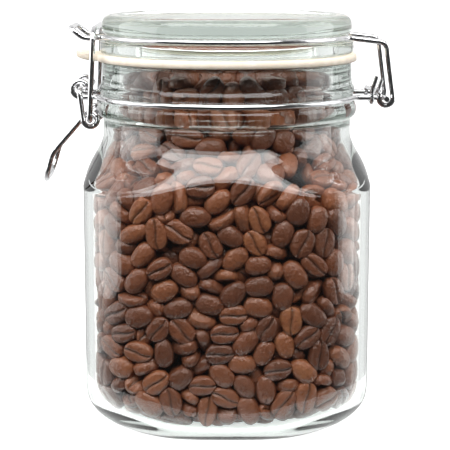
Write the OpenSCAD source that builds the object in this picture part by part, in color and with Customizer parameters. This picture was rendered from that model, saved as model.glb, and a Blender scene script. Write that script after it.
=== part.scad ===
// Clip-top storage jar: a rounded-square glass jar with a round neck, a glass
// lid on a rubber seal, and a bent-wire closure.  The origin is the middle of
// the base on the surface it stands on, +Z is up, the latch is at -X and the
// hinge at +X.  The two halves either side of y = 0 mirror each other.

/* [Glass jar] */
// Width and depth across the flat faces
body_w = 107; // [100:1:116]
// Radius of the four upright corners
corner_r = 30; // [24:1:34]
// Height where the upright faces end and the shoulder begins
body_h = 95; // [90:1:97]
// Radius of the rounded heel round the base
heel_r = 12; // [8:1:18]
// Thickness of the upright glass walls
wall_t = 3.4; // [2.5:0.1:4.5]
// Thickness of the glass floor
floor_t = 5; // [4:0.5:7]
// Height of the round mouth's flat rim
rim_z = 137.6; // [136:0.1:138]
// Outer radius of the neck below the bead
neck_r = 47.4; // [46:0.1:47.6]
// Inner radius of the mouth
mouth_r = 40.6; // [40:0.1:42]

/* [Lid and seal] */
// Thickness of the rubber seal
seal_t = 2.8; // [2:0.1:2.8]
// Outer radius of the rubber seal
seal_r = 49.6; // [48.5:0.1:50]
// Half width of the seal's pull tab
tab_half_w = 7; // [5:0.5:8]
// Outer radius of the lid's skirt
skirt_r = 48.4; // [48:0.1:49]
// Outer radius of the lid's top edge
lid_r = 47.6; // [47:0.1:48]
// Height of the lid from its seat on the seal to its top
lid_h = 14.6; // [14:0.1:15]

/* [Wire closure] */
// Diameter of the closure's wire
wire_d = 2; // [1.6:0.1:2]
// Height of the wire round the neck
neck_wire_z = 124.4; // [124:0.1:124.8]
// Height of the wire round the lid
lid_wire_z = 147; // [146.8:0.1:147.2]
// Distance of the hinge pin from the jar's axis
hinge_x = 59.6; // [59:0.1:61]
// Distance of the lever's pivot from the jar's axis
pivot_x = 55.3; // [55:0.1:56]
// Height of the lever's pivot
pivot_z = 127.4; // [127.2:0.1:127.8]
// Distance of the lever's coiled eye from the jar's axis
eye_x = 51.3; // [51.2:0.1:51.8]
// Height of the lever's coiled eye
eye_z = 116.3; // [116:0.1:116.5]
// Height of the latch loop's crossbar
latch_z = 150.3; // [150.2:0.1:151]

/* [Hidden] */
$fn = 96;

wire_r = wire_d / 2;
half_w = body_w / 2;
joint_gap = 0.02;               // gap inside each ball that joins two lengths of wire
ball_scale = 1.06;              // size of those balls against the wire
ball_turn = 37;                 // turn of those balls about the wire

// Neck of the jar, from the shoulder up
corner_reach = 66;              // just beyond the body's corners
foot_r = 46;                    // the corners run down and in to this radius
foot_top = 34;                  // height where they begin to do so
foot_power = 1.6;               // fullness of that curve
shoulder_reach = 70;            // the shoulder's curve comes in from this radius
shoulder_power = 1.6;           // hollowness of that curve
neck_z = 110;                   // and its top
bead_r = 49.5;                  // bead that the neck wire rests on
bead_z = 119.6;
groove_r = 48.5;                // neck behind the wire
flange_r = 47.8;                // smooth finish under the seal
flange_z = 129;
rim_round = 1.2;

// Lid, from its seat up
seal_z = rim_z + 0.15;
lid_z = seal_z + seal_t + 0.05;
lid_top = lid_z + lid_h;
lid_groove_r = 46.2;
plug_r = mouth_r - 1.3;
plug_depth = 4.4;
plug_wall = 4.4;
dish_r = 39.5;
dish_depth = 1.6;
middle_t = 5.2;                 // glass left between the dished top and the recess
recess_z = lid_top - dish_depth - middle_t;

// Closure: half spans across the jar, and the rings' radii
neck_ring_r = groove_r + wire_r + 0.05;
lid_ring_r = lid_groove_r + wire_r + 0.05;
pivot_eye_y = 10.7;             // eyes of the neck wire
hinge_arm_y = 12;               // neck wire's arms at the hinge
hinge_pin_y = 19.5;             // ends of the neck wire's hinge pins
lid_leg_y = 15.6;               // lid wire's legs at the hinge
nose_y = 12.5;                  // lid wire's nose under the latch loop
lever_tail_y = 13.4;
lever_arm_y = 15.7;
loop_arm_y = 19;
eye_coil_r = 2.6;
curl_r = 2.6;
PIVOT = [-pivot_x, 0, pivot_z];
EYE = [-eye_x, 0, eye_z];
HINGE = [hinge_x, 0, neck_wire_z];

glass = [0.86, 0.93, 0.90, 0.45];
rubber = [0.91, 0.86, 0.80];
steel = [0.80, 0.81, 0.82];

// ---------------------------------------------------------------- helpers

function unit(v) = v / norm(v);

// Points where the tangents of an arc meet: a wire bent at these points with
// the arc's radius follows the arc exactly.  Angles are in the plane of [x, z]
// when upright, else in the plane of [x, y].
function arc_corner(centre, r, mid, step, upright, side) =
    let (far = r / cos(step / 2))
    centre + far * (upright ? [cos(mid), 0, sin(mid)] : [cos(mid), sin(mid), 0]) + [0, side, 0];
function arc_corners(centre, r, from, sweep, n, upright = true, side0 = 0, side1 = 0) =
    [for (i = [0 : n - 1])
        let (t = (i + 0.5) / n)
        arc_corner(centre, r, from + t * sweep, sweep / n, upright, side0 + (side1 - side0) * t)];

// Length that a bend of radius r takes off each side of corner i
function bend_cut(p, r, i) =
    (i == 0 || i == len(p) - 1) ? 0
    : let (turn = acos(min(1, unit(p[i] - p[i - 1]) * unit(p[i + 1] - p[i]))))
      r[i] * tan(turn / 2);

// Where the bends of a wire start and end along its legs
function leg_start(p, r, i) = p[i] + unit(p[i + 1] - p[i]) * bend_cut(p, r, i);
function leg_end(p, r, i) = p[i + 1] - unit(p[i + 1] - p[i]) * bend_cut(p, r, i + 1);

// Places its children at point a, with their Z axis along the unit vector z
module facing(a, z) {
    x = unit(cross(abs(z[2]) < 0.9 ? [0, 0, 1] : [1, 0, 0], z));
    y = cross(z, x);
    multmatrix([[x[0], y[0], z[0], a[0]], [x[1], y[1], z[1], a[1]],
                [x[2], y[2], z[2], a[2]], [0, 0, 0, 1]])
        children();
}

// Straight piece of wire from a to b
module straight(a, b, r) {
    facing(a, unit(b - a)) cylinder(r = r, h = norm(b - a), $fn = 32);
}

// Ball that joins two lengths of wire of radius r at point a
module joining_ball(a, direction, r) {
    facing(a, direction) rotate(ball_turn) sphere(r = r * ball_scale, $fn = 48);
}

// Round bend of wire at corner p, coming from a and leaving for b
module bend(a, p, b, bend_r, r) {
    u = unit(p - a);
    v = unit(b - p);
    turn = acos(u * v);
    n = unit(cross(u, v));
    m = cross(n, u);
    c = p - u * bend_r * tan(turn / 2) + m * bend_r;
    short = asin(joint_gap / bend_r);
    multmatrix([[-m[0], u[0], n[0], c[0]], [-m[1], u[1], n[1], c[1]],
                [-m[2], u[2], n[2], c[2]], [0, 0, 0, 1]])
        rotate(short) rotate_extrude(angle = turn - 2 * short, $fn = 96)
            translate([bend_r, 0]) circle(r = r, $fn = 32);
}

// Wire along the points p, with the bend radius r[i] at point i.  Its straights
// and bends stop a hair short of each other, inside a ball that joins them.
module wire(p, r, thick = wire_r) {
    last = len(p) - 1;
    for (i = [0 : last - 1]) {
        from = leg_start(p, r, i);
        to = leg_end(p, r, i);
        direction = unit(p[i + 1] - p[i]);
        along = direction * joint_gap;
        has_leg = norm(to - from) > 4 * joint_gap;
        if (has_leg)
            straight(from + (i > 0 ? along : [0, 0, 0]),
                     to - (i + 1 < last ? along : [0, 0, 0]), thick);
        if (i > 0) {
            bend(p[i - 1], p[i], p[i + 1], r[i], thick);
            joining_ball(from, direction, thick);
        }
        if (has_leg && i + 1 < last) joining_ball(to, direction, thick);
    }
}

function mirrored(p) = [for (q = p) [q[0], -q[1], q[2]]];
function backwards(p) = [for (i = [len(p) - 1 : -1 : 0]) p[i]];
function same(value, n) = [for (i = [1 : n]) value];

// Where a ring of radius ring_r turns out into an arm along x at height y = arm_y,
// through a bend of radius fillet_r: the angle of the turn-off round the ring
function turn_off(ring_r, arm_y, fillet_r) = asin((arm_y + fillet_r) / (ring_r + fillet_r));
// and the corner of that bend, towards +x
function turn_corner(ring_r, arm_y, fillet_r, z) =
    let (a = turn_off(ring_r, arm_y, fillet_r))
    [(ring_r - arm_y * sin(a)) / cos(a), arm_y, z];

module rounded_square(half, r) {
    square([2 * half, 2 * (half - r)], center = true);
    square([2 * (half - r), 2 * half], center = true);
    for (sx = [-1, 1], sy = [-1, 1])
        translate([sx * (half - r), sy * (half - r)]) circle(r = r, $fn = 96);
}

// ---------------------------------------------------------------- glass jar

// Outline of the jar seen from the front: upright sides on a rounded heel
module heel_outline(half, bottom, top, heel) {
    translate([-half, bottom + heel]) square([2 * half, top - bottom - heel]);
    translate([-half + heel, bottom]) square([2 * (half - heel), top - bottom]);
    for (side = [-1, 1])
        translate([side * (half - heel), bottom + heel]) circle(r = heel, $fn = 96);
}

// Rounded-square column with a rounded heel.  The heel's outline is a little
// wider than the column, so their faces cross cleanly.
module column(inset, bottom) {
    spare = 0.4;
    top = rim_z + 8;
    half = half_w - inset;
    heel = heel_r - inset * 0.5;
    intersection() {
        translate([0, 0, bottom]) linear_extrude(top - bottom)
            rounded_square(half, corner_r - inset);
        for_front_and_side(half + spare + 1)
            heel_outline(half + spare, bottom, top + 1, heel + spare);
    }
}

// Crosses an outline extruded along y with the same outline extruded along x
module for_front_and_side(reach) {
    intersection() {
        rotate([90, 0, 0]) translate([0, 0, -reach]) linear_extrude(2 * reach) children();
        rotate([90, 0, 90]) translate([0, 0, -reach]) linear_extrude(2 * reach) children();
    }
}

// Hollow curve of the shoulder, from the corners up and in to the neck
function shoulder_curve(inset) =
    let (r0 = shoulder_reach - inset, r1 = neck_r - inset, z0 = body_h - 3, z1 = neck_z)
    [for (i = [0 : 10])
        let (a = 9 * i)
        [r1 + (r0 - r1) * (1 - pow(sin(a), 2 / shoulder_power)),
         z0 + (z1 - z0) * (1 - pow(cos(a), 2 / shoulder_power))]];

// Full curve of the foot, from near the base up and out to the corners
function foot_curve(inset, bottom) =
    let (r0 = foot_r - inset, r1 = corner_reach - inset, steps = 8)
    [for (i = [1 : steps])
        let (t = i / steps, out = pow(1 - pow(1 - t, foot_power), 1 / foot_power))
        [r0 + (r1 - r0) * out, bottom + (foot_top - bottom) * t]];

module glass_jar() {
    below = 3;                  // the turned shapes start this far under the columns
    slope = 5;                  // and are this much narrower there than the foot
    outside = concat(
        [[0, -below], [foot_r - slope, -below]], foot_curve(0, 0), shoulder_curve(0),
        [[neck_r, 115.6], [48.3, 117], [49.2, 118], [bead_r, bead_z - 0.6],
         [bead_r, bead_z + 0.6], [49.2, 121.6], [groove_r, 123], [groove_r, 126.4],
         [48.6, 127.2], [flange_r, flange_z], [flange_r, rim_z - rim_round],
         [flange_r - 0.35, rim_z - 0.35], [flange_r - rim_round, rim_z], [0, rim_z]]);
    inside = concat(
        [[0, floor_t - below], [foot_r - wall_t - slope, floor_t - below]],
        foot_curve(wall_t, floor_t), shoulder_curve(wall_t),
        [[neck_r - wall_t, 114.5], [mouth_r, 121], [mouth_r, rim_z - 0.8],
         [mouth_r + 1.8, rim_z + 1], [0, rim_z + 1]]);
    color(glass) difference() {
        intersection() {
            column(0, 0);
            rotate_extrude() polygon(outside);
        }
        intersection() {
            column(wall_t, floor_t);
            rotate_extrude() polygon(inside);
        }
    }
}

// ---------------------------------------------------------------- lid and seal

module glass_lid() {
    groove_half = wire_r + 0.1;
    color(glass) rotate_extrude() polygon([
        [0, recess_z], [plug_r - plug_wall, recess_z], [plug_r - plug_wall, lid_z - plug_depth + 0.6],
        [plug_r - plug_wall + 0.6, lid_z - plug_depth], [plug_r - 1.6, lid_z - plug_depth],
        [plug_r - 0.6, lid_z - plug_depth + 1], [plug_r, lid_z],
        [skirt_r - 0.6, lid_z], [skirt_r, lid_z + 0.6], [skirt_r, lid_wire_z - groove_half - 0.9],
        [skirt_r - 0.9, lid_wire_z - groove_half], [lid_groove_r, lid_wire_z - groove_half],
        [lid_groove_r, lid_wire_z + groove_half], [lid_r - 0.5, lid_wire_z + groove_half],
        [lid_r, lid_wire_z + groove_half + 0.5], [lid_r, lid_top - 3.2],
        [lid_r - 0.6, lid_top - 1.7], [lid_r - 1.9, lid_top - 0.5], [lid_r - 4, lid_top],
        [dish_r + 1.6, lid_top],
        [dish_r, lid_top - dish_depth], [0, lid_top - dish_depth - 0.2]]);
}

module rubber_seal() {
    tab_length = 8;
    color(rubber) difference() {
        union() {
            translate([0, 0, seal_z]) cylinder(r = seal_r, h = seal_t);
            translate([-seal_r - tab_length + tab_half_w, -tab_half_w, seal_z])
                cube([tab_length, 2 * tab_half_w, seal_t]);
            translate([-seal_r - tab_length + tab_half_w, 0, seal_z])
                cylinder(r = tab_half_w, h = seal_t);
        }
        translate([0, 0, seal_z - 1]) cylinder(r = plug_r + 0.3, h = seal_t + 2);
    }
}

// ---------------------------------------------------------------- wire closure

// The lid wire: a ring in the lid's groove, an upturned nose at the latch and
// two legs at the hinge, each hooked round a pin of the neck wire
module lid_wire() {
    nose_fillet = 3;
    leg_fillet = 4;
    nose_turn = turn_off(lid_ring_r, nose_y, nose_fillet);
    leg_turn = turn_off(lid_ring_r, lid_leg_y, leg_fillet);
    nose_in = turn_corner(lid_ring_r, nose_y, nose_fillet, lid_wire_z);
    leg_in = turn_corner(lid_ring_r, lid_leg_y, leg_fillet, lid_wire_z);
    ring = arc_corners([0, 0, lid_wire_z], lid_ring_r, leg_turn,
                       180 - nose_turn - leg_turn, 1, false);
    // each leg comes down straight on to its hook, which curls under the pin
    leg_top = [hinge_x - 0.2, lid_leg_y, lid_wire_z - 1.7];
    down = HINGE - [leg_top[0], 0, leg_top[2]];
    hook_start = -200;
    hook_end = atan2(down[2], down[0]) + asin(curl_r / norm(down)) + 90;
    hook = arc_corners(HINGE + [0, lid_leg_y, 0], curl_r, hook_start, hook_end - hook_start, 2);
    tip = HINGE + [0, lid_leg_y, 0] + curl_r * [cos(hook_start), 0, sin(hook_start)]
        + [sin(hook_start), 0, -cos(hook_start)];
    half = concat([tip], hook, [leg_top, leg_in], ring,
                  [[-nose_in[0], nose_in[1], nose_in[2]], [-53.6, nose_y, lid_wire_z - 0.4],
                   [-58.4, nose_y, lid_wire_z + 3.4]]);
    radii = concat([0], same(curl_r, 2), [3.2, leg_fillet, lid_ring_r, nose_fillet, 5, 3]);
    color(steel) wire(concat(half, backwards(mirrored(half))), concat(radii, backwards(radii)));
}

// The neck wire: a ring under the mouth, two eyes for the lever joined by a
// short bar at the latch, and two pins turned outwards at the hinge
module neck_wire() {
    eye_fillet = 3;
    arm_fillet = 3;
    eye_r = pivot_z - neck_wire_z;
    bar_bend = 1.5;
    eye_turn = turn_off(neck_ring_r, pivot_eye_y, eye_fillet);
    arm_turn = turn_off(neck_ring_r, hinge_arm_y, arm_fillet);
    eye_in = turn_corner(neck_ring_r, pivot_eye_y, eye_fillet, neck_wire_z);
    arm_in = turn_corner(neck_ring_r, hinge_arm_y, arm_fillet, neck_wire_z);
    ring = arc_corners([0, 0, neck_wire_z], neck_ring_r, arm_turn,
                       180 - eye_turn - arm_turn, 1, false);
    eye = arc_corners(PIVOT + [0, pivot_eye_y, 0], eye_r, -90, -225, 2);
    bar = PIVOT + eye_r * [cos(45), 0, sin(45)] + bar_bend * [cos(45), 0, -sin(45)];
    half = concat(
        [HINGE + [0, hinge_pin_y, 0], HINGE + [0, hinge_arm_y, 0], arm_in], ring,
        [[-eye_in[0], eye_in[1], eye_in[2]]], eye, [bar + [0, pivot_eye_y, 0]]);
    radii = concat([0, 2.2, arm_fillet, neck_ring_r, eye_fillet], same(eye_r, 2), [bar_bend]);
    color(steel) wire(concat(half, backwards(mirrored(half))), concat(radii, backwards(radii)));
}

// Soft wire wound round the neck wire's two hinge arms, with its cut ends up
module hinge_tie_wire() {
    tie_r = 0.75;
    tie_x = 54.6;
    high = wire_r + tie_r + 0.1;
    side = hinge_arm_y + wire_r + tie_r + 0.1;
    z = neck_wire_z;
    color(steel) {
        wire([[tie_x + 1.6, -side - 0.4, z + 8.2], [tie_x, -side, z + 2.6], [tie_x, -side, z - high],
              [tie_x, side, z - high], [tie_x, side, z + high], [tie_x + 2.1, -side + 1.2, z + high],
              [tie_x + 3.6, -side + 1.4, z + 6.8]],
             [0, 1.4, 1.7, 1.7, 1.7, 1.2, 0], tie_r);
    }
}

// The lever: pivot pins in the neck wire's eyes, coiled eyes that carry the
// latch loop, and a long loop for the thumb
module latch_lever() {
    toward = EYE - PIVOT;
    reach = norm(toward);
    heading = atan2(toward[2], toward[0]) - asin(eye_coil_r / reach);
    coil_sweep = 312;
    leave = heading + coil_sweep;
    coil = arc_corners(EYE, eye_coil_r, heading - 90, coil_sweep, 3, true,
                       lever_arm_y, lever_tail_y);
    tail_start = EYE + eye_coil_r * [cos(leave - 90), 0, sin(leave - 90)];
    tail_knee = tail_start + 19.5 * [cos(leave), 0, sin(leave)] + [0, lever_tail_y, 0];
    half = concat([PIVOT + [0, 8.4, 0], PIVOT + [0, lever_arm_y, 0]], coil,
                  [tail_knee, tail_knee + [-3, 0, -10.5]]);
    radii = concat([0, 1.8], same(eye_coil_r - 0.02, 3), [9, 7]);
    color(steel) wire(concat(half, backwards(mirrored(half))), concat(radii, backwards(radii)));
}

// The latch loop: hooked through the lever's eyes, over the lid wire's nose
module latch_loop() {
    half = [EYE + [0, 11.2, 0], EYE + [0, loop_arm_y, 0], [-49.4, loop_arm_y, latch_z]];
    radii = [0, 2, 5];
    color(steel) wire(concat(half, backwards(mirrored(half))), concat(radii, backwards(radii)));
}

glass_jar();
glass_lid();
rubber_seal();
lid_wire();
neck_wire();
hinge_tie_wire();
latch_lever();
latch_loop();
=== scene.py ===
"""Looks of the clip-top storage jar: glass body and lid, rubber seal, chromed wires and coffee beans.

Everything is in metres in the frame of the CAD part: +Z up, the latch at -X and the hinge at +X.
"""
import math

import bpy
import numpy as np
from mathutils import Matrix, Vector


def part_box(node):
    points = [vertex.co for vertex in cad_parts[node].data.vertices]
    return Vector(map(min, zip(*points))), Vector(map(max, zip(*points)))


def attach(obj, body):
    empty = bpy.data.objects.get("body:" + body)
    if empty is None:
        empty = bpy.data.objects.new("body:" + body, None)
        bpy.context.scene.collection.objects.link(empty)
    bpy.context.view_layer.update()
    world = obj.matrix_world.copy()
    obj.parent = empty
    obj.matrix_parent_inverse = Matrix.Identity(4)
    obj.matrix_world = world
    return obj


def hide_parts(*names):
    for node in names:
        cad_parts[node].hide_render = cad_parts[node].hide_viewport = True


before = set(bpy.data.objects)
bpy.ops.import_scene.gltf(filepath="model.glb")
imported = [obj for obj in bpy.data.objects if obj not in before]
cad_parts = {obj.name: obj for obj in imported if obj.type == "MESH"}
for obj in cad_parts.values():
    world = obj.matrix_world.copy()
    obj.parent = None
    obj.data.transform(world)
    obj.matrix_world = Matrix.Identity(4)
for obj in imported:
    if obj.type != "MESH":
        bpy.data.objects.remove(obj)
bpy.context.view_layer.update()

MM = 0.001
SEED = 7

# ------------------------------------------------------------------ sizes, from the frame

JAR_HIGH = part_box("glass_jar")[1]
LID_LOW, LID_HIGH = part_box("glass_lid")
SEAL_LOW, SEAL_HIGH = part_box("rubber_seal")
RIM_Z = JAR_HIGH.z
HALF = JAR_HIGH.x                      # half the body's width
SEAL_R = SEAL_HIGH.x
SKIRT_R = LID_HIGH.x
LID_TOP = LID_HIGH.z
LID_SEAT = SEAL_HIGH.z + 0.05 * MM

CORNER_R = 30 * MM                     # upright corners of the body
HEEL_R = 12 * MM
FOOT_R = 46 * MM                       # the corners run down and in to this radius
FOOT_TOP = 34 * MM                     # from this height
FOOT_POWER = 1.6
WALL = 3.4 * MM
FLOOR = 4 * MM
NECK_R = 47.4 * MM
MOUTH_R = 40.6 * MM
SHOULDER_LOW = 92 * MM                 # the shoulder's curve runs from here
SHOULDER_HIGH = 110 * MM               # to here
SHOULDER_REACH = 70 * MM               # radius where that curve starts
SHOULDER_POWER = 1.6
CORNER_REACH = 68.5 * MM               # just beyond the body's corners
SHOULDER_BLEND = 6 * MM                # softness of the edge between face and shoulder
FOOT_BLEND = 5 * MM                    # and of that between face and foot


# ------------------------------------------------------------------ mesh helpers

def mesh_object(name, points, faces, smooth=True):
    mesh = bpy.data.meshes.new(name)
    mesh.from_pydata([tuple(p) for p in points], [], [tuple(f) for f in faces])
    mesh.validate()
    if smooth:
        mesh.polygons.foreach_set("use_smooth", [True] * len(mesh.polygons))
    mesh.update()
    obj = bpy.data.objects.new(name, mesh)
    bpy.context.scene.collection.objects.link(obj)
    return obj


def joined_rings(rings, close_ends=True, closed_loop=False):
    """Points and faces of a skin through rings of equal length, wound so that it faces outwards."""
    count = len(rings[0])
    points = [p for ring in rings for p in ring]
    faces = []
    spans = len(rings) if closed_loop else len(rings) - 1
    for j in range(spans):
        a, b = j * count, ((j + 1) % len(rings)) * count
        for i in range(count):
            k = (i + 1) % count
            faces.append((a + i, a + k, b + k, b + i))
    if close_ends and not closed_loop:
        for ring, flip in ((0, True), (len(rings) - 1, False)):
            centre = len(points)
            points.append(np.mean(rings[ring], axis=0))
            start = ring * count
            for i in range(count):
                k = (i + 1) % count
                edge = (start + k, start + i) if flip else (start + i, start + k)
                faces.append((*edge, centre))
    return points, faces


def rounded_path(path, times=3, keep_ends=True):
    """Chaikin's corner cutting: rounds the corners of a path of (r, z) points."""
    path = np.array(path, dtype=float)
    for _ in range(times):
        a, b = path[:-1], path[1:]
        cut = np.empty((2 * len(a), path.shape[1]))
        cut[0::2] = 0.75 * a + 0.25 * b
        cut[1::2] = 0.25 * a + 0.75 * b
        if keep_ends:
            cut = np.vstack([path[:1], cut, path[-1:]])
        path = cut
    return path


def turned(path, count=160):
    """Rings of a body of revolution from a path of (r, z) points."""
    turn = np.linspace(0, 2 * math.pi, count, endpoint=False)
    around = np.stack([np.cos(turn), np.sin(turn)], 1)
    return [np.column_stack([around * r, np.full(count, z)]) for r, z in path]


# ------------------------------------------------------------------ the jar's shape

def rounded_square(turn, half, corner):
    """Distance from the axis to a rounded square, in the direction turn."""
    c, s = np.abs(np.cos(turn)), np.abs(np.sin(turn))
    big, small = np.maximum(c, s), np.minimum(c, s)
    inner = half - corner
    flat = half / big
    along = inner * (c + s)
    arc = along + np.sqrt(np.maximum(along ** 2 - 2 * inner ** 2 + corner ** 2, 0))
    return np.where(flat * small <= inner, flat, arc)


def soft_min(a, b, blend):
    """The smaller of a and b, rounded where they come within blend of each other."""
    mix = np.clip(0.5 + 0.5 * (b - a) / blend, 0, 1)
    return b * (1 - mix) + a * mix - blend * mix * (1 - mix)


def shoulder_radius(z, inset):
    """Radius of the round shoulder at height z: a hollow curve that ends upright in the neck."""
    t = np.clip((z - SHOULDER_LOW) / (SHOULDER_HIGH - SHOULDER_LOW), 0, 1)
    reach, neck = SHOULDER_REACH - inset, NECK_R - inset
    out = 1 - (1 - (1 - t) ** SHOULDER_POWER) ** (1 / SHOULDER_POWER)
    return neck + (reach - neck) * out


def foot_radius(z, inset, bottom):
    """Radius of the foot at height z: a full curve from near the base out to the corners."""
    t = np.clip((z - bottom) / (FOOT_TOP - bottom), 0, 1)
    out = (1 - (1 - t) ** FOOT_POWER) ** (1 / FOOT_POWER)
    return FOOT_R + (CORNER_REACH - FOOT_R) * out - inset * (0.4 + 0.6 * t)


def body_radius(turn, z, inset=0.0, bottom=0.0):
    """Distance from the axis to the body's surface, at height z in the direction turn."""
    heel = HEEL_R - 1.3 * inset
    low = np.clip(1 - (z - bottom) / heel, 0, 1)
    tuck = heel * (1 - np.sqrt(np.maximum(1 - low ** 2, 0)))
    square = rounded_square(turn, HALF - inset - tuck, CORNER_R - inset - 0.35 * tuck)
    square = soft_min(square, foot_radius(z, inset, bottom), FOOT_BLEND)
    return soft_min(square, shoulder_radius(z, inset), SHOULDER_BLEND)


def heights(bottom, inset, top):
    """Heights of the body's rings: close together on the heel and on the shoulder."""
    heel = HEEL_R - 1.3 * inset
    turn = np.linspace(0, math.pi / 2, 14)
    return np.concatenate([
        bottom + heel * (1 - np.cos(turn)),
        np.linspace(bottom + heel, FOOT_TOP, 12)[1:],
        np.linspace(FOOT_TOP, SHOULDER_LOW, 10)[1:],
        np.linspace(SHOULDER_LOW, top, 36)[1:]])


def jar_mesh():
    count = 256
    turn = np.linspace(0, 2 * math.pi, count, endpoint=False)
    around = np.stack([np.cos(turn), np.sin(turn)], 1)

    def body_rings(inset, bottom):
        rings = []
        for z in heights(bottom, inset, SHOULDER_HIGH):
            reach = body_radius(turn, z, inset, bottom)
            rings.append(np.column_stack([around * reach[:, None], np.full(count, z)]))
        return rings

    def base_rings(ring, lift):
        """Rings from a middle part of the base out to the heel, lifted by lift in the middle."""
        out = []
        for share in (0.12, 0.4, 0.62, 0.78, 0.88, 0.94, 0.98):
            rise = lift * (1 - share ** 4)
            out.append(np.column_stack([ring[:, :2] * share, ring[:, 2] + rise]))
        return out

    outer = body_rings(0.0, 0.0)
    inner = body_rings(WALL, FLOOR)
    neck = rounded_path([
        (NECK_R, SHOULDER_HIGH), (NECK_R, 115.0 * MM), (NECK_R + 0.2 * MM, 116.2 * MM),
        (49.2 * MM, 117.4 * MM), (49.7 * MM, 119.0 * MM), (49.7 * MM, 120.4 * MM),
        (49.1 * MM, 122.2 * MM), (48.4 * MM, 122.9 * MM), (48.4 * MM, 125.8 * MM),
        (48.9 * MM, 126.6 * MM), (48.8 * MM, 128.0 * MM), (47.7 * MM, 129.6 * MM),
        (47.7 * MM, RIM_Z - 1.4 * MM), (47.4 * MM, RIM_Z - 0.2 * MM), (46.2 * MM, RIM_Z),
        (45.0 * MM, RIM_Z), (43.9 * MM, RIM_Z - 0.3 * MM), (MOUTH_R, RIM_Z - 1.6 * MM),
        (MOUTH_R, 123 * MM), (MOUTH_R + 0.6 * MM, 119 * MM), (NECK_R - WALL, 114.5 * MM),
        (NECK_R - WALL, SHOULDER_HIGH)], 3)
    rings = (base_rings(outer[0], 1.6 * MM) + outer[:-1] + turned(neck, count)
             + inner[::-1][1:] + base_rings(inner[0], 0.8 * MM)[::-1])
    points, faces = joined_rings(rings)
    return mesh_object("jar_glass_body", points, faces)


# ------------------------------------------------------------------ lid and seal

def lid_mesh():
    groove_low, groove_high = 145.9 * MM, 148.1 * MM
    top_r = SKIRT_R - 0.8 * MM
    recess = LID_TOP - 6.8 * MM
    plug_low = LID_LOW.z
    path = rounded_path([
        (0.2 * MM, recess), (28 * MM, recess), (34.0 * MM, recess - 0.4 * MM),
        (34.8 * MM, recess - 2.5 * MM), (35.2 * MM, plug_low + 0.5 * MM), (36.8 * MM, plug_low),
        (38.0 * MM, plug_low + 0.3 * MM), (39.0 * MM, LID_SEAT - 1.2 * MM), (39.3 * MM, LID_SEAT),
        (SKIRT_R - 0.9 * MM, LID_SEAT), (SKIRT_R, LID_SEAT + 0.8 * MM),
        (SKIRT_R, groove_low - 1.3 * MM), (SKIRT_R - 0.7 * MM, groove_low - 0.2 * MM),
        (46.6 * MM, groove_low), (46.2 * MM, groove_low + 0.5 * MM),
        (46.2 * MM, groove_high - 0.4 * MM), (46.6 * MM, groove_high),
        (top_r - 0.5 * MM, groove_high + 0.1 * MM), (top_r, groove_high + 0.8 * MM),
        (top_r, LID_TOP - 3.0 * MM), (top_r - 0.7 * MM, LID_TOP - 1.3 * MM),
        (top_r - 2.4 * MM, LID_TOP - 0.2 * MM), (top_r - 4.2 * MM, LID_TOP),
        (41.6 * MM, LID_TOP - 0.1 * MM),
        (39.8 * MM, LID_TOP - 1.2 * MM), (36.0 * MM, LID_TOP - 1.7 * MM),
        (20 * MM, LID_TOP - 1.9 * MM), (0.2 * MM, LID_TOP - 2.0 * MM)], 3)
    points, faces = joined_rings(turned(path, 224))
    return mesh_object("lid_glass_disc", points, faces)


def seal_outline():
    """Outline of the rubber seal seen from above: a circle with a rounded pull tab at the latch."""
    tab_half = 7 * MM
    tab_centre = SEAL_LOW.x + tab_half
    lead = math.asin(tab_half / SEAL_R) + 0.03
    ring = np.linspace(-math.pi + lead, math.pi - lead, 200)
    circle = np.stack([np.cos(ring), np.sin(ring)], 1) * SEAL_R
    bend = np.linspace(math.pi / 2, 1.5 * math.pi, 26)
    tab = np.stack([tab_centre + tab_half * np.cos(bend), tab_half * np.sin(bend)], 1)
    return np.vstack([circle, tab])


def seal_mesh():
    outline = seal_outline()
    reach = np.linalg.norm(outline, axis=1)
    direction = outline / reach[:, None]
    low, high = SEAL_LOW.z, SEAL_HIGH.z
    middle = 0.5 * (low + high)
    inner = 39.7 * MM
    edge = 0.4 * MM
    section = [(0.0, low + 0.4 * MM), (0.4 * MM, low), (None, low), (edge, low + 0.02 * MM),
               (0.08 * MM, low + 0.3 * MM), (0.0, middle), (0.08 * MM, high - 0.3 * MM),
               (edge, high - 0.02 * MM), (None, high), (0.4 * MM, high), (0.0, high - 0.4 * MM)]
    rings = []
    for step, (offset, z) in enumerate(section):
        if offset is None:
            radius = inner + 0.6 * (reach - inner)
        elif step < 2 or step > 8:
            radius = np.full(len(reach), inner + offset)
        else:
            radius = reach - offset
        # the tab lifts a little towards its end
        lift = 0.022 * np.clip(radius - SEAL_R, 0, None) ** 2 / MM
        rings.append(np.column_stack([direction * radius[:, None], z + lift]))
    points, faces = joined_rings(rings, closed_loop=True)
    return mesh_object("seal_rubber_ring", points, faces)


# ------------------------------------------------------------------ coffee beans

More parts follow.
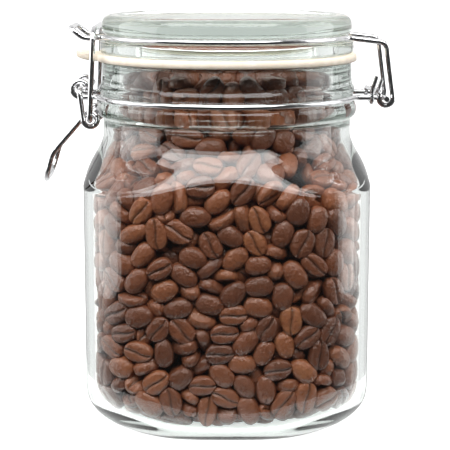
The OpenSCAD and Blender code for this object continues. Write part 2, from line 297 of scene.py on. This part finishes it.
BEAN_LENGTH, BEAN_WIDTH = 10.8 * MM, 8.2 * MM
BEAN_BACK, BEAN_FACE = 3.2 * MM, 2.0 * MM      # height of the round back and of the flat side
BALL_R = 2.55 * MM                             # a bean is packed as six balls of this radius
BEAN_BALLS = np.array([
    (2.75, 0, 0), (-2.75, 0, 0), (1.2, 1.5, 0), (1.2, -1.5, 0),
    (-1.2, 1.5, 0), (-1.2, -1.5, 0)]) * MM
BEAN_COUNT = 1750
GLASS_GAP = 0.12 * MM                          # air left between the beans and the glass
CORE_DEPTH = 15 * MM                           # beans fill only this depth behind the glass
FILL_TOP = RIM_Z - 3.4 * MM
FRONT_DEPTH = 7 * MM                           # beans nearer the glass than this get the fine shape
BEAN_SECTORS = 6                               # the front beans are split into this many pieces
PACKING_ROUNDS = 150
CREASE_DEPTH = 0.9 * MM
CREASE_WIDTH = 0.085                           # as a share of half the bean's width
EGG_SHAPE = 0.24                               # how much one end is wider, between extreme beans


def inside_depth(points):
    """Depth of points below the jar's inner surface, and the direction further in."""
    def depth(p):
        turn = np.arctan2(p[:, 1], p[:, 0])
        z = np.clip(p[:, 2], FLOOR, None)
        side = body_radius(turn, z, WALL, FLOOR)
        narrowing = (NECK_R - WALL - MOUTH_R) * np.clip((z - 114 * MM) / (8 * MM), 0, 1)
        neck = np.minimum(side, NECK_R - WALL - narrowing)
        side = np.where(z > SHOULDER_HIGH, neck, side)
        side = side - np.hypot(p[:, 0], p[:, 1])
        return np.minimum(np.minimum(side, p[:, 2] - FLOOR), FILL_TOP - p[:, 2])
    here = depth(points)
    step = 0.4 * MM
    slope = np.stack([depth(points + step * axis) - here for axis in np.eye(3)], 1)
    slope /= np.maximum(np.linalg.norm(slope, axis=1, keepdims=True), 1e-9)
    return here, slope


def close_pairs(points, reach):
    """Pairs of points nearer than reach, found through a grid of cells of that size."""
    cell = np.floor((points - points.min(0)) / reach).astype(np.int64) + 1
    size = cell.max(0) + 2
    key = (cell[:, 0] * size[1] + cell[:, 1]) * size[2] + cell[:, 2]
    order = np.argsort(key, kind="stable")
    sorted_key = key[order]
    found = []
    for dx in (-1, 0, 1):
        for dy in (-1, 0, 1):
            for dz in (-1, 0, 1):
                other = key + (dx * size[1] + dy) * size[2] + dz
                first = np.searchsorted(sorted_key, other, "left")
                last = np.searchsorted(sorted_key, other, "right")
                many = last - first
                a = np.repeat(np.arange(len(points)), many)
                if len(a) == 0:
                    continue
                start = np.repeat(first - np.concatenate([[0], np.cumsum(many)[:-1]]), many)
                b = order[start + np.arange(len(a))]
                near = a < b
                a, b = a[near], b[near]
                gap = points[a] - points[b]
                close = (gap ** 2).sum(1) < reach ** 2
                found.append(np.stack([a[close], b[close]], 1))
    return np.concatenate(found)


def best_rotation(shape, moved):
    """Rotations that carry each bean's own balls nearest to where they have been pushed."""
    spread = np.einsum("kbi,bj->kij", moved, shape)
    spread += 1e-9 * np.eye(3)
    u, _, vt = np.linalg.svd(spread)
    flip = np.sign(np.linalg.det(u @ vt))
    u[:, :, 2] *= flip[:, None]
    return u @ vt


def random_turns(rng, count):
    """Evenly spread random rotation matrices."""
    q = rng.normal(size=(count, 4))
    w, x, y, z = (q / np.linalg.norm(q, axis=1, keepdims=True)).T
    return np.stack([
        np.stack([1 - 2 * (y * y + z * z), 2 * (x * y - z * w), 2 * (x * z + y * w)], 1),
        np.stack([2 * (x * y + z * w), 1 - 2 * (x * x + z * z), 2 * (y * z - x * w)], 1),
        np.stack([2 * (x * z - y * w), 2 * (y * z + x * w), 1 - 2 * (x * x + y * y)], 1)], 1)


def packed_beans():
    """Places and turns of beans that fill a layer behind the glass without passing through it.

    Balls push each other apart and each bean is kept rigid, while the beans grow to full size.
    """
    rng = np.random.default_rng(SEED)
    places = []
    while len(places) < BEAN_COUNT:
        p = rng.uniform((-HALF, -HALF, FLOOR), (HALF, HALF, FILL_TOP), (4000, 3))
        deep, _ = inside_depth(p)
        places.extend(p[(deep > 2 * MM) & (deep < CORE_DEPTH)])
    centre = np.array(places[:BEAN_COUNT])
    turn = random_turns(rng, BEAN_COUNT)
    rounds = PACKING_ROUNDS
    for step in range(rounds):
        size = min(1.0, 0.55 + 0.5 * step / (0.7 * rounds))
        spots = centre[:, None, :] + size * np.einsum("kij,bj->kbi", turn, BEAN_BALLS)
        flat = spots.reshape(-1, 3)
        push = np.zeros_like(flat)
        hits = np.ones(len(flat))
        if step % 3 == 0:
            pairs = close_pairs(flat, 2.35 * BALL_R)
            bean = pairs // len(BEAN_BALLS)
            pairs = pairs[bean[:, 0] != bean[:, 1]]
        gap = flat[pairs[:, 0]] - flat[pairs[:, 1]]
        apart = np.linalg.norm(gap, axis=1)
        lack = 2 * BALL_R * size - apart
        hit = lack > 0
        move = 0.5 * (lack[hit] / np.maximum(apart[hit], 1e-9))[:, None] * gap[hit]
        a, b = pairs[hit, 0], pairs[hit, 1]
        for axis in range(3):
            push[:, axis] += np.bincount(a, move[:, axis], len(flat))
            push[:, axis] -= np.bincount(b, move[:, axis], len(flat))
        hits += 0.5 * (np.bincount(a, minlength=len(flat)) + np.bincount(b, minlength=len(flat)))
        push /= hits[:, None] ** 0.7
        deep, inward = inside_depth(flat)
        wall = np.clip(BALL_R * size + 0.15 * MM - deep, 0, None)
        core = np.clip(deep - CORE_DEPTH, 0, None)
        push += inward * (wall - 0.5 * core)[:, None]
        # a light pull towards the glass packs the front layer tightly
        push -= inward * (0.06 * MM * (1 - step / rounds))
        spots = (flat + push).reshape(-1, len(BEAN_BALLS), 3)
        centre = spots.mean(1)
        turn = best_rotation(BEAN_BALLS, spots - centre[:, None, :])
        # thin sides turn towards the glass near it
        if step < 0.8 * rounds:
            deep, inward = inside_depth(centre)
            near = deep < 6.5 * MM
            axis = turn[near][:, :, 2]
            side = np.sign((axis * inward[near]).sum(1))
            swing = 0.05 * np.cross(axis, inward[near] * side[:, None])
            turn[near] = small_turn(swing) @ turn[near]
    return centre, turn


def small_turn(vector):
    """Rotation matrices about the given vectors, by their lengths."""
    angle = np.linalg.norm(vector, axis=1)
    x, y, z = (vector / np.maximum(angle, 1e-9)[:, None]).T
    zero = np.zeros_like(x)
    cross = np.stack([np.stack([zero, -z, y], 1), np.stack([z, zero, -x], 1),
                      np.stack([-y, x, zero], 1)], 1)
    s, c = np.sin(angle)[:, None, None], np.cos(angle)[:, None, None]
    return np.eye(3) + s * cross + (1 - c) * (cross @ cross)


def bean_shape(along, across):
    """One bean: a round back, and a flatter side with an S-shaped crease along it.

    Returns its points, its faces and how far into the crease each point lies.
    """
    u = np.sin(np.linspace(-0.5, 0.5, along) * math.pi)
    v = np.linspace(-1, 1, across)
    v = np.sign(v) * np.abs(v) ** 1.25
    points, crease, rows = [], [], []
    for side in (1, -1):
        table = []
        for a in u:
            row = []
            edge = max(1 - abs(a) ** 2.4, 0) ** 0.47
            for b in v:
                x, y = a, b * edge
                rim = edge * math.sqrt(1 - b * b)
                groove = 0.0
                if side < 0:
                    bend = 0.12 * math.sin(2.6 * a)
                    groove = math.exp(-((y - bend) / CREASE_WIDTH) ** 2) * min(1, 6 * (1 - a * a))
                    height = -(BEAN_FACE - CREASE_DEPTH * groove) * rim ** 0.4
                else:
                    height = BEAN_BACK * rim ** 0.65
                row.append(len(points))
                points.append((x * BEAN_LENGTH / 2, y * BEAN_WIDTH / 2, height))
                crease.append(groove)
            table.append(row)
        rows.append(table)
    faces = []
    for side, table in enumerate(rows):
        for i in range(along - 1):
            for j in range(across - 1):
                quad = (table[i][j], table[i + 1][j], table[i + 1][j + 1], table[i][j + 1])
                faces.append(quad if side == 0 else quad[::-1])
    return np.array(points), np.array(faces), np.array(crease)


def welded(points, faces, crease):
    """Joins points that lie in the same place, so the two sides of a bean form one skin."""
    keys = np.round(points / (0.01 * MM)).astype(np.int64)
    _, first, index = np.unique(keys, axis=0, return_index=True, return_inverse=True)
    index = index.reshape(-1)
    clean = {}
    for face in index[faces]:
        corners = tuple(dict.fromkeys(face.tolist()))
        if len(corners) >= 3:
            clean.setdefault(frozenset(corners), corners)
    return points[first], list(clean.values()), crease[first]


def placed_points(centre, turn, sizes, tones, points):
    """A bean's points at each bean's size and place; by its tone a bean is more or less egg-shaped."""
    scaled = points[None] * sizes[:, None, :]
    taper = EGG_SHAPE * (tones - 0.5)[:, None] * points[None, :, 0] / (BEAN_LENGTH / 2)
    scaled[:, :, 1] *= 1 + taper
    return np.einsum("kij,knj->kni", turn, scaled) + centre[:, None, :]


def bean_piece(name, centre, turn, sizes, tones, shape):
    """One object holding many beans, with their colours and creases as attributes."""
    points, faces, crease = shape
    count, n = len(centre), len(points)
    placed = placed_points(centre, turn, sizes, tones, points)
    loops = np.concatenate([np.array(f) for f in faces])
    lengths = np.array([len(f) for f in faces])
    mesh = bpy.data.meshes.new(name)
    mesh.vertices.add(count * n)
    mesh.vertices.foreach_set("co", placed.reshape(-1).astype(np.float32))
    all_loops = (loops[None] + n * np.arange(count)[:, None]).reshape(-1)
    all_lengths = np.tile(lengths, count)
    mesh.loops.add(len(all_loops))
    mesh.loops.foreach_set("vertex_index", all_loops.astype(np.int32))
    mesh.polygons.add(len(all_lengths))
    starts = np.concatenate([[0], np.cumsum(all_lengths)[:-1]])
    mesh.polygons.foreach_set("loop_start", starts.astype(np.int32))
    mesh.polygons.foreach_set("use_smooth", np.ones(len(all_lengths), dtype=bool))
    mesh.update(calc_edges=True)
    # the crease attribute is also the mask for the painted shade along each bean's crease
    for key, values in (("tone", np.repeat(tones, n)), ("crease", np.tile(crease, count))):
        layer = mesh.attributes.new(key, "FLOAT", "POINT")
        layer.data.foreach_set("value", values.astype(np.float32))
    obj = bpy.data.objects.new(name, mesh)
    bpy.context.scene.collection.objects.link(obj)
    return obj


def off_the_glass(centre, turn, sizes, tones, points):
    """Shifts beans inwards until all their points lie a little inside the glass."""
    for _ in range(3):
        placed = placed_points(centre, turn, sizes, tones, points)
        deep, inward = inside_depth(placed.reshape(-1, 3))
        deep = deep.reshape(len(centre), -1)
        nearest = deep.argmin(1)
        pick = np.arange(len(centre))
        lack = np.clip(GLASS_GAP - deep[pick, nearest], 0, None)
        centre = centre + lack[:, None] * inward.reshape(*deep.shape, 3)[pick, nearest]
    return centre


def bean_pieces():
    """The beans' objects: the front layer by sectors with a fine shape, and the plainer rest."""
    centre, turn = packed_beans()
    rng = np.random.default_rng(SEED + 1)
    depth, _ = inside_depth(centre)
    front = depth < FRONT_DEPTH
    # beans at the glass show either side: which one is a matter of chance
    flip = rng.random(len(centre)) < 0.5
    turn[flip] = turn[flip] @ np.diag([1.0, -1.0, -1.0])
    sizes = rng.normal(1.0, 0.05, (len(centre), 3)).clip(0.88, 1.1)
    tones = rng.random(len(centre))
    fine = welded(*bean_shape(17, 15))
    plain = welded(*bean_shape(9, 7))
    centre = off_the_glass(centre, turn, sizes, tones, fine[0])
    sector = (np.arctan2(centre[:, 1], centre[:, 0]) + math.pi) / (2 * math.pi) * BEAN_SECTORS
    sector = sector.astype(int) % BEAN_SECTORS
    pieces = []
    for part in range(BEAN_SECTORS):
        here = front & (sector == part)
        pieces.append(bean_piece(f"contents_beans_{part + 1}", centre[here], turn[here],
                                 sizes[here], tones[here], fine))
    back = ~front
    pieces.append(bean_piece("contents_beans_inner", centre[back], turn[back],
                             sizes[back], tones[back], plain))
    return pieces


# ------------------------------------------------------------------ materials

def new_material(name):
    material = bpy.data.materials.new(name)
    material.use_nodes = True
    nodes = material.node_tree.nodes
    return material, nodes, material.node_tree.links, nodes["Principled BSDF"]


def noise(nodes, links, scale, detail=2.0, coordinates="Object"):
    where = nodes.new("ShaderNodeTexCoord")
    texture = nodes.new("ShaderNodeTexNoise")
    texture.inputs["Scale"].default_value = scale
    texture.inputs["Detail"].default_value = detail
    links.new(where.outputs[coordinates], texture.inputs["Vector"])
    return texture


def ramp(nodes, links, source, stops):
    colours = nodes.new("ShaderNodeValToRGB")
    colours.color_ramp.elements[0].position = stops[0][0]
    colours.color_ramp.elements[0].color = (*stops[0][1], 1)
    colours.color_ramp.elements[1].position = stops[-1][0]
    colours.color_ramp.elements[1].color = (*stops[-1][1], 1)
    for place, colour in stops[1:-1]:
        colours.color_ramp.elements.new(place).color = (*colour, 1)
    links.new(source, colours.inputs["Fac"])
    return colours


def bump(nodes, links, height, strength, distance, shader):
    node = nodes.new("ShaderNodeBump")
    node.inputs["Strength"].default_value = strength
    node.inputs["Distance"].default_value = distance
    links.new(height, node.inputs["Height"])
    links.new(node.outputs["Normal"], shader.inputs["Normal"])


def glass_material(name, tint, depth, waviness):
    """Clear pressed glass with a faint waviness; lamps shine through it on to what is inside."""
    material, nodes, links, shader = new_material(name)
    shader.inputs["Base Color"].default_value = (*tint, 1)
    shader.inputs["Transmission Weight"].default_value = 1.0
    shader.inputs["IOR"].default_value = 1.46
    smudge = noise(nodes, links, 55, 3)
    spread = nodes.new("ShaderNodeMapRange")
    spread.inputs["From Min"].default_value = 0.5
    spread.inputs["From Max"].default_value = 0.8
    spread.inputs["To Min"].default_value = 0.0
    spread.inputs["To Max"].default_value = 0.05
    links.new(smudge.outputs["Fac"], spread.inputs["Value"])
    links.new(spread.outputs["Result"], shader.inputs["Roughness"])
    waves = noise(nodes, links, 38, 1)
    bump(nodes, links, waves.outputs["Fac"], waviness, 1.2 * MM, shader)
    clear = nodes.new("ShaderNodeBsdfTransparent")
    clear.inputs["Color"].default_value = (0.93, 0.96, 0.94, 1)
    path = nodes.new("ShaderNodeLightPath")
    mix = nodes.new("ShaderNodeMixShader")
    links.new(path.outputs["Is Shadow Ray"], mix.inputs["Fac"])
    links.new(shader.outputs["BSDF"], mix.inputs[1])
    links.new(clear.outputs["BSDF"], mix.inputs[2])
    links.new(mix.outputs["Shader"], nodes["Material Output"].inputs["Surface"])
    # the green of thick glass seen edge on
    body = nodes.new("ShaderNodeVolumeAbsorption")
    body.inputs["Color"].default_value = (0.58, 0.66, 0.61, 1)
    body.inputs["Density"].default_value = depth
    links.new(body.outputs["Volume"], nodes["Material Output"].inputs["Volume"])
    return material


def rubber_material():
    material, nodes, links, shader = new_material("cream_rubber")
    speckle = noise(nodes, links, 260, 4)
    colours = ramp(nodes, links, speckle.outputs["Fac"],
                   [(0.3, (0.80, 0.70, 0.57)), (0.7, (0.90, 0.80, 0.68))])
    links.new(colours.outputs["Color"], shader.inputs["Base Color"])
    shader.inputs["Roughness"].default_value = 0.6
    shader.inputs["Subsurface Weight"].default_value = 0.15
    shader.inputs["Subsurface Radius"].default_value = (0.004, 0.003, 0.002)
    grain = noise(nodes, links, 1500, 3)
    bump(nodes, links, grain.outputs["Fac"], 0.35, 0.15 * MM, shader)
    return material


def wire_material():
    material, nodes, links, shader = new_material("chromed_wire")
    shader.inputs["Metallic"].default_value = 1.0
    wear = noise(nodes, links, 420, 4)
    colours = ramp(nodes, links, wear.outputs["Fac"],
                   [(0.3, (0.60, 0.60, 0.61)), (0.65, (0.80, 0.80, 0.81))])
    links.new(colours.outputs["Color"], shader.inputs["Base Color"])
    polish = nodes.new("ShaderNodeMapRange")
    polish.inputs["To Min"].default_value = 0.08
    polish.inputs["To Max"].default_value = 0.24
    links.new(wear.outputs["Fac"], polish.inputs["Value"])
    links.new(polish.outputs["Result"], shader.inputs["Roughness"])
    return material


def bean_material():
    material, nodes, links, shader = new_material("roasted_bean")
    tone = nodes.new("ShaderNodeAttribute")
    tone.attribute_name = "tone"
    groove = nodes.new("ShaderNodeAttribute")
    groove.attribute_name = "crease"
    mottle = noise(nodes, links, 330, 4)
    blend = nodes.new("ShaderNodeMath")
    blend.operation = "MULTIPLY_ADD"
    links.new(mottle.outputs["Fac"], blend.inputs[0])
    blend.inputs[1].default_value = 0.55
    links.new(tone.outputs["Fac"], blend.inputs[2])
    half = nodes.new("ShaderNodeMath")
    half.operation = "MULTIPLY"
    half.inputs[1].default_value = 0.65
    links.new(blend.outputs["Value"], half.inputs[0])
    colours = ramp(nodes, links, half.outputs["Value"], [
        (0.12, (0.120, 0.034, 0.016)), (0.5, (0.235, 0.068, 0.030)),
        (0.8, (0.350, 0.108, 0.046)), (0.98, (0.56, 0.21, 0.085))])
    # painted shade: the colour darkens to near black along the middle of the crease, where the groove
    # lies in shade; the groove's real depth is in the shape
    skin = nodes.new("ShaderNodeMix")
    skin.data_type = "RGBA"
    skin.inputs["B"].default_value = (0.012, 0.005, 0.003, 1)
    links.new(colours.outputs["Color"], skin.inputs["A"])
    strength = nodes.new("ShaderNodeMath")
    strength.operation = "MULTIPLY"
    strength.inputs[1].default_value = 0.7
    links.new(groove.outputs["Fac"], strength.inputs[0])
    links.new(strength.outputs["Value"], skin.inputs["Factor"])
    links.new(skin.outputs["Result"], shader.inputs["Base Color"])
    sheen = nodes.new("ShaderNodeMapRange")
    sheen.inputs["To Min"].default_value = 0.2
    sheen.inputs["To Max"].default_value = 0.4
    links.new(mottle.outputs["Fac"], sheen.inputs["Value"])
    links.new(sheen.outputs["Result"], shader.inputs["Roughness"])
    shader.inputs["Specular IOR Level"].default_value = 0.5
    shader.inputs["Coat Weight"].default_value = 0.3
    shader.inputs["Coat Roughness"].default_value = 0.2
    wrinkles = noise(nodes, links, 800, 6)
    bump(nodes, links, wrinkles.outputs["Fac"], 0.9, 0.8 * MM, shader)
    return material


# ------------------------------------------------------------------ the pieces on their bodies

def dress(obj, material, body, slot, *nodes):
    obj.data.materials.clear()
    obj.data.materials.append(material)
    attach(obj, body)
    if nodes:
        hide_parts(*nodes)


def build_object():
    jar_glass = glass_material("jar_clear_glass", (0.975, 0.99, 0.985), 32, 0.05)
    lid_glass = glass_material("lid_clear_glass", (0.95, 0.97, 0.96), 13, 0.05)
    dress(jar_mesh(), jar_glass, "jar", "jar_glass", "glass_jar")
    dress(lid_mesh(), lid_glass, "lid", "lid_glass", "glass_lid")
    dress(seal_mesh(), rubber_material(), "lid", "rubber", "rubber_seal")
    beans = bean_material()
    for piece in bean_pieces():
        piece.data.materials.append(beans)
        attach(piece, "jar")
    wire = wire_material()
    for name in ("lid_wire", "neck_wire", "hinge_tie_wire", "latch_lever", "latch_loop"):
        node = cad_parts[name]
        node.data.materials.clear()
        node.data.materials.append(wire)


# ------------------------------------------------------------------ studio

FLOOR_HALF = 6                         # metres
NEAR_PATCH = 0.09                      # the floor near the jar stays in its reflections
LAMP_TARGET = (0, 0, 0.08)             # about the middle of the jar

def area_light(name, place, target, size, power):
    lamp = bpy.data.lights.new(name, "AREA")
    lamp.shape = "RECTANGLE"
    lamp.size, lamp.size_y = size
    lamp.energy = power
    obj = bpy.data.objects.new(name, lamp)
    obj.location = place
    obj.rotation_euler = (Vector(target) - Vector(place)).to_track_quat("-Z", "Y").to_euler()
    bpy.context.scene.collection.objects.link(obj)
    return obj


def floor_material():
    material, nodes, links, shader = new_material("studio_floor")
    patches = noise(nodes, links, 4, 2)
    colours = ramp(nodes, links, patches.outputs["Fac"],
                   [(0.3, (0.90, 0.90, 0.90)), (0.7, (0.93, 0.93, 0.93))])
    links.new(colours.outputs["Color"], shader.inputs["Base Color"])
    shader.inputs["Roughness"].default_value = 0.9
    shader.inputs["Specular IOR Level"].default_value = 0.1
    shader.inputs["Emission Color"].default_value = (1, 1, 1, 1)
    shader.inputs["Emission Strength"].default_value = 0.85
    # rays that have been reflected pass through the floor, but for a patch close round the jar
    path = nodes.new("ShaderNodeLightPath")
    bounced = nodes.new("ShaderNodeMath")
    bounced.operation = "GREATER_THAN"
    bounced.inputs[1].default_value = 0.5
    links.new(path.outputs["Glossy Depth"], bounced.inputs[0])
    where = nodes.new("ShaderNodeTexCoord")
    away = nodes.new("ShaderNodeVectorMath")
    away.operation = "LENGTH"
    links.new(where.outputs["Object"], away.inputs[0])
    beyond = nodes.new("ShaderNodeMath")
    beyond.operation = "GREATER_THAN"
    beyond.inputs[1].default_value = NEAR_PATCH
    links.new(away.outputs["Value"], beyond.inputs[0])
    reflected = nodes.new("ShaderNodeMath")
    reflected.operation = "MULTIPLY"
    links.new(bounced.outputs["Value"], reflected.inputs[0])
    links.new(beyond.outputs["Value"], reflected.inputs[1])
    clear = nodes.new("ShaderNodeBsdfTransparent")
    mix = nodes.new("ShaderNodeMixShader")
    links.new(reflected.outputs["Value"], mix.inputs["Fac"])
    links.new(shader.outputs["BSDF"], mix.inputs[1])
    links.new(clear.outputs["BSDF"], mix.inputs[2])
    links.new(mix.outputs["Shader"], nodes["Material Output"].inputs["Surface"])
    return material


def build_world():
    """White to the camera.

    Light that went straight through the glass finds it bright in front and behind, and a little
    dimmer at the sides. All other light finds it bright behind the jar and dim in front.
    """
    world = bpy.data.worlds.new("studio_world")
    bpy.context.scene.world = world
    world.use_nodes = True
    nodes, links = world.node_tree.nodes, world.node_tree.links
    where = nodes.new("ShaderNodeTexCoord")
    split = nodes.new("ShaderNodeSeparateXYZ")
    links.new(where.outputs["Generated"], split.inputs["Vector"])
    either = nodes.new("ShaderNodeMath")
    either.operation = "ABSOLUTE"
    links.new(split.outputs["Y"], either.inputs[0])
    path = nodes.new("ShaderNodeLightPath")

    def brightness(dim, bright, start, source):
        level = nodes.new("ShaderNodeMapRange")
        level.interpolation_type = "SMOOTHSTEP"
        level.inputs["From Min"].default_value = start
        level.inputs["From Max"].default_value = 0.65
        level.inputs["To Min"].default_value = dim
        level.inputs["To Max"].default_value = bright
        links.new(source, level.inputs["Value"])
        return level

    reflected = brightness(0.05, 0.95, -0.55, split.outputs["Y"])
    through = brightness(0.6, 1.0, -0.2, either.outputs["Value"])
    # light that has been reflected on its way comes from the dim room, not straight through
    unreflected = nodes.new("ShaderNodeMath")
    unreflected.operation = "LESS_THAN"
    unreflected.inputs[1].default_value = 0.5
    links.new(path.outputs["Glossy Depth"], unreflected.inputs[0])
    straight = nodes.new("ShaderNodeMath")
    straight.operation = "MULTIPLY"
    links.new(path.outputs["Is Transmission Ray"], straight.inputs[0])
    links.new(unreflected.outputs["Value"], straight.inputs[1])
    light = nodes.new("ShaderNodeMix")
    links.new(straight.outputs["Value"], light.inputs["Factor"])
    links.new(reflected.outputs["Result"], light.inputs["A"])
    links.new(through.outputs["Result"], light.inputs["B"])
    room = nodes["Background"]
    links.new(light.outputs["Result"], room.inputs["Strength"])
    room.inputs["Color"].default_value = (1, 1, 1, 1)
    seen = nodes.new("ShaderNodeBackground")
    seen.inputs["Color"].default_value = (1, 1, 1, 1)
    mix = nodes.new("ShaderNodeMixShader")
    links.new(path.outputs["Is Camera Ray"], mix.inputs["Fac"])
    links.new(room.outputs["Background"], mix.inputs[1])
    links.new(seen.outputs["Background"], mix.inputs[2])
    links.new(mix.outputs["Shader"], nodes["World Output"].inputs["Surface"])


def build_studio():
    side = FLOOR_HALF
    floor = mesh_object("studio_floor",
                        [(-side, -side, 0), (side, -side, 0), (side, side, 0), (-side, side, 0)],
                        [(0, 1, 2, 3)])
    floor.data.materials.append(floor_material())
    floor.visible_glossy = False
    floor.visible_diffuse = False
    build_world()
    area_light("key", (-0.1, -0.62, 1.0), LAMP_TARGET, (2.0, 0.8), 30)
    area_light("left_box", (-1.0, -0.02, 0.3), LAMP_TARGET, (0.93, 1.0), 7)
    area_light("right_box", (1.0, 0.05, 0.3), LAMP_TARGET, (0.67, 1.0), 5)
    scene = bpy.context.scene
    scene.view_settings.view_transform = "Standard"
    # thick glass sends light round inside it many times; its caustics are left out
    scene.cycles.max_bounces = 20
    scene.cycles.glossy_bounces = 16
    scene.cycles.transmission_bounces = 20
    scene.cycles.caustics_reflective = False
    scene.cycles.caustics_refractive = False


def build_camera():
    """The photograph's viewpoint: 0.6 m in front, a little above the lid, looking slightly down."""
    distance, height, pitch = 0.6, 0.1819, math.radians(10.3)
    lens = bpy.data.cameras.new("camera")
    lens.sensor_width = 36
    lens.lens = 125.0
    lens.shift_x = -0.004
    lens.shift_y = 0.003
    lens.clip_start = 0.01
    camera = bpy.data.objects.new("camera", lens)
    camera.location = (0, -distance, height)
    camera.rotation_euler = (math.pi / 2 - pitch, 0, 0)
    bpy.context.scene.collection.objects.link(camera)
    bpy.context.scene.camera = camera


build_camera()
build_studio()
build_object()
